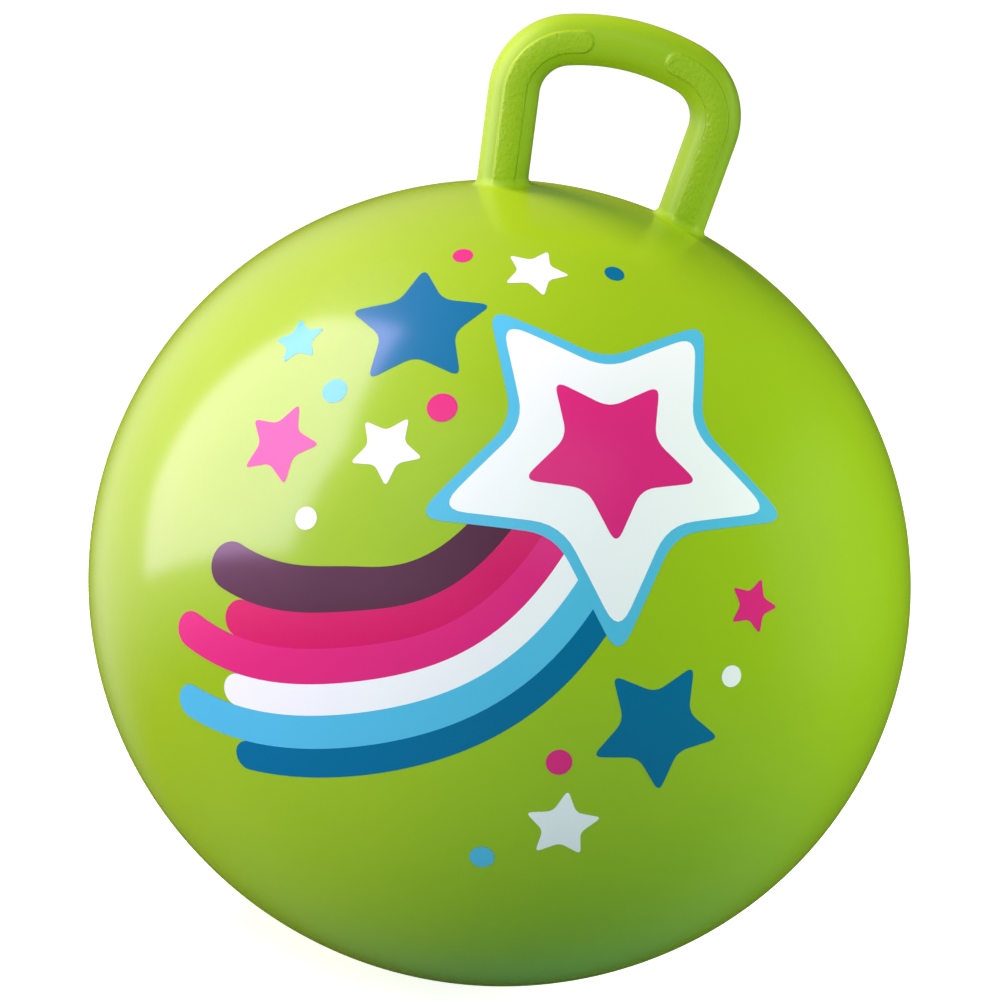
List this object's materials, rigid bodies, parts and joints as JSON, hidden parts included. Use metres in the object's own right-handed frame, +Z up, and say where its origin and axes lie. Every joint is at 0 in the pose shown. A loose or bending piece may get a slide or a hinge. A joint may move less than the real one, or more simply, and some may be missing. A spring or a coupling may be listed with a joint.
{
  "type": "hopper ball",
  "caption": "Inflated vinyl ball with a moulded loop handle on top, for a child to sit on and bounce, with a plugged valve at the back and a flattened foot.",
  "frame": {"origin": "on the floor, at the middle of the flat foot under the ball", "axes": "+Z up through the ball's centre and the middle of the handle, +X along the handle's bar, -Y to the printed front, +Y to the valve at the back"},
  "size_m": [0.45, 0.45, 0.5345],
  "materials": {
    "ball_vinyl": "glossy moulded vinyl",
    "handle_vinyl": "satin vinyl with a fine leather-like grain on the grip pads",
    "valve_vinyl": "satin moulded vinyl",
    "plug_plastic": "moulded polyethylene"
  },
  "bodies": {
    "ball": {"ball_shell": "ball_vinyl", "handle": "handle_vinyl", "valve_seat": "valve_vinyl"},
    "plug": {"valve_plug": "plug_plastic"}
  },
  "joints": [
    {"name": "plug_pull", "type": "slide", "parent": "ball", "child": "plug", "axis": [0, 0.9063, 0.4226], "range_m": [0, 0.022]}
  ]
}
